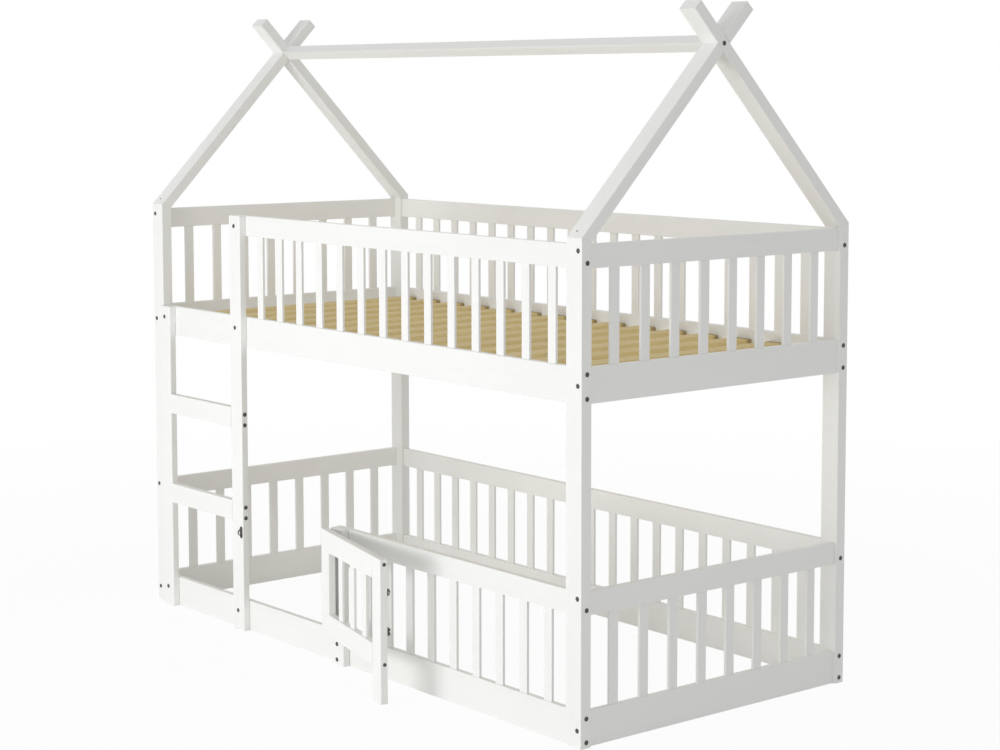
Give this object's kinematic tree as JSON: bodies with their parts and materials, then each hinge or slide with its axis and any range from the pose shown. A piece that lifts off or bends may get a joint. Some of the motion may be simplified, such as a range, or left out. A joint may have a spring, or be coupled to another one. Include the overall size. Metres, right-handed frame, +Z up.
{
  "type": "house bunk bed",
  "caption": "House-shaped timber bunk bed: slatted upper bed with guards, fenced floor bed below, front ladder and a low hinged gate with a barrel bolt.",
  "frame": {"origin": "on the floor, under the middle of the bounding box of the bed with its gate open", "axes": "+Z up; +X along the bed, away from the ladder end; -Y towards the front, where the ladder and the gate are"},
  "size_m": [2.06, 1.1275, 1.8681],
  "materials": {
    "white_lacquer": "satin white lacquer",
    "bare_pine": "planed, untreated",
    "dark_steel": "dark satin"
  },
  "bodies": {
    "bed_frame": {"post_front_left": "white_lacquer", "rafter_front_left": "white_lacquer", "post_front_right": "white_lacquer", "rafter_front_right": "white_lacquer", "post_back_left": "white_lacquer", "rafter_back_left": "white_lacquer", "post_back_right": "white_lacquer", "rafter_back_right": "white_lacquer", "ridge_beam": "white_lacquer", "front_bottom_rail": "white_lacquer", "front_lower_guard": "white_lacquer", "front_platform_rail": "white_lacquer", "front_upper_guard": "white_lacquer", "back_bottom_rail": "white_lacquer", "back_lower_guard": "white_lacquer", "back_platform_rail": "white_lacquer", "back_upper_guard": "white_lacquer", "left_bottom_rail": "white_lacquer", "left_lower_guard": "white_lacquer", "left_platform_rail": "white_lacquer", "left_upper_guard": "white_lacquer", "right_bottom_rail": "white_lacquer", "right_lower_guard": "white_lacquer", "right_platform_rail": "white_lacquer", "right_upper_guard": "white_lacquer", "ladder_stile_left": "white_lacquer", "ladder_stile_right": "white_lacquer", "ladder_rung_lower": "white_lacquer", "ladder_rung_upper": "white_lacquer", "gate_post": "white_lacquer", "slat_ledger_front": "bare_pine", "slat_ledger_back": "bare_pine", "slat_01": "bare_pine", "slat_02": "bare_pine", "slat_03": "bare_pine", "slat_04": "bare_pine", "slat_05": "bare_pine", "slat_06": "bare_pine", "slat_07": "bare_pine", "slat_08": "bare_pine", "slat_09": "bare_pine", "slat_10": "bare_pine", "slat_11": "bare_pine", "slat_12": "bare_pine", "slat_13": "bare_pine", "slat_14": "bare_pine", "slat_15": "bare_pine", "hinge_lower_post_leaf": "dark_steel", "hinge_upper_post_leaf": "dark_steel", "latch_keeper": "dark_steel"},
    "gate": {"gate_hinge_stile": "white_lacquer", "gate_latch_stile": "white_lacquer", "gate_top_rail": "white_lacquer", "gate_bottom_rail": "white_lacquer", "hinge_lower_gate_leaf": "dark_steel", "hinge_upper_gate_leaf": "dark_steel", "latch_barrel": "dark_steel", "gate_pull": "dark_steel"},
    "bolt": {"latch_bolt": "dark_steel"}
  },
  "joints": [
    {"name": "gate_hinge", "type": "hinge", "parent": "bed_frame", "child": "gate", "pos_m": [-0.03685, -0.42453, 0.245], "axis": [0, 0, 1], "range_deg": [-165.4, 14.6]},
    {"name": "bolt_slide", "type": "slide", "parent": "gate", "child": "bolt", "axis": [0.9677, -0.2521, 0], "range_m": [0, 0.018]}
  ]
}
